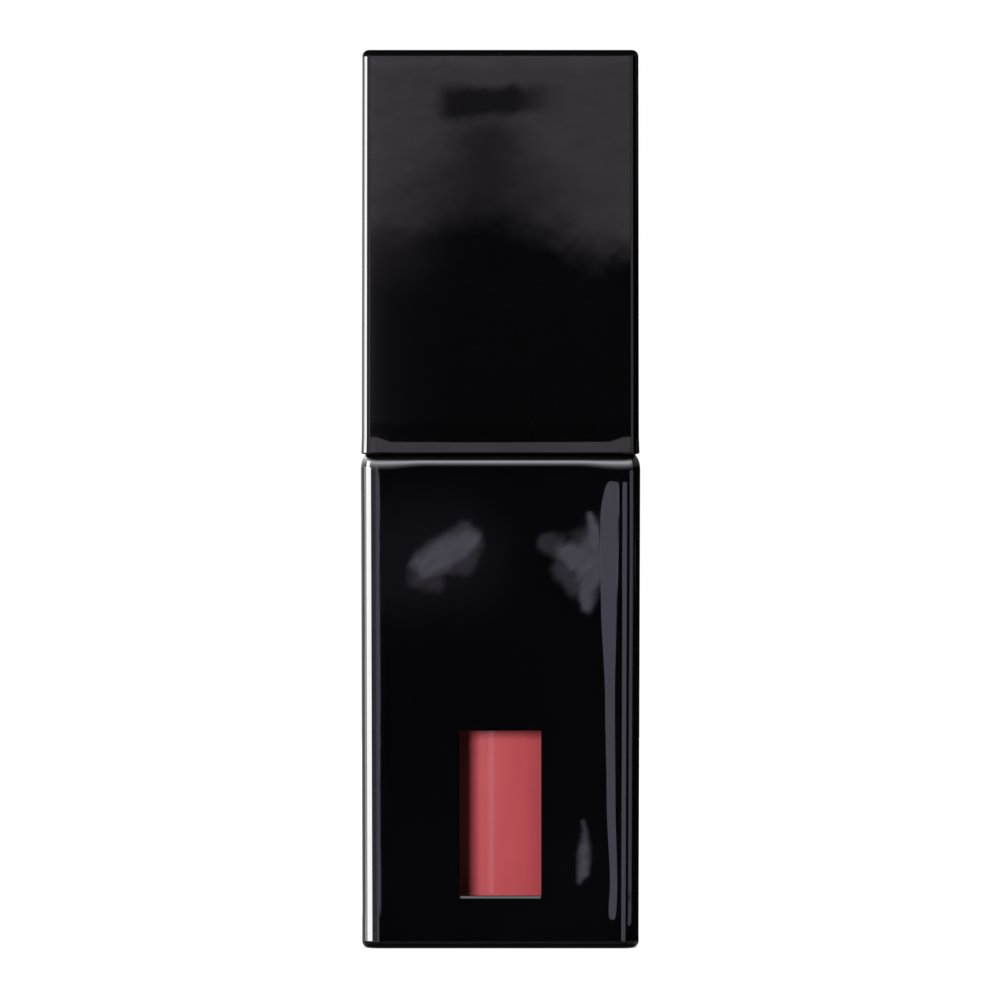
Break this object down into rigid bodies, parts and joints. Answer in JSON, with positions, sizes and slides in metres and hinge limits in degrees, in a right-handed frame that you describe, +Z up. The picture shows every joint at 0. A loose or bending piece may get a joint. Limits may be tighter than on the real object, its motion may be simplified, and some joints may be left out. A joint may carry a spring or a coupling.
{
  "type": "lipstick case",
  "caption": "Square gloss-black liquid lipstick case with a small shade window and a quarter-turn cap that carries the wand and flocked applicator.",
  "frame": {"origin": "middle of the base, where the case stands on its foot", "axes": "+Z up along the case's axis, -Y out of the face with the shade window, +X to the right when facing that window"},
  "size_m": [0.024, 0.024, 0.077],
  "materials": {
    "case_lacquer": "high gloss black lacquer",
    "window_clear": "clear polished acrylic",
    "base_black": "fine satin moulding",
    "label": "plain printed film, no text",
    "vial_clear": "clear blown PETG",
    "wiper_soft": "natural soft polyethylene",
    "collar_lacquer": "high gloss black",
    "product": "opaque rose lip colour, liquid",
    "seal_foam": "closed-cell polyethylene foam",
    "cap_lacquer": "high gloss black lacquer",
    "weight_metal": "tumbled steel",
    "liner_black": "black polypropylene",
    "stem_black": "smooth black acetal",
    "core_soft": "soft elastomer",
    "flock": "short nylon flock wet with product"
  },
  "bodies": {
    "bottle": {"case_shell": "case_lacquer", "window_lens": "window_clear", "base_plate": "base_black", "shade_label": "label", "vial": "vial_clear", "wiper": "wiper_soft", "neck_collar": "collar_lacquer", "product_fill": "product"},
    "wand": {"stem": "stem_black", "neck_seal": "seal_foam"},
    "cap": {"cap_shell": "cap_lacquer", "cap_weight": "weight_metal", "cap_liner": "liner_black", "applicator_core": "core_soft", "flock_coat": "flock"}
  },
  "joints": [
    {"name": "cap_lift", "type": "slide", "parent": "bottle", "child": "wand", "axis": [0, 0, 1], "range_m": [0, 0.062], "deforming": ["wiper"]},
    {"name": "cap_twist", "type": "hinge", "parent": "wand", "child": "cap", "pos_m": [0, 0, 0.06], "axis": [0, 0, 1], "range_deg": [-90, 0]}
  ]
}
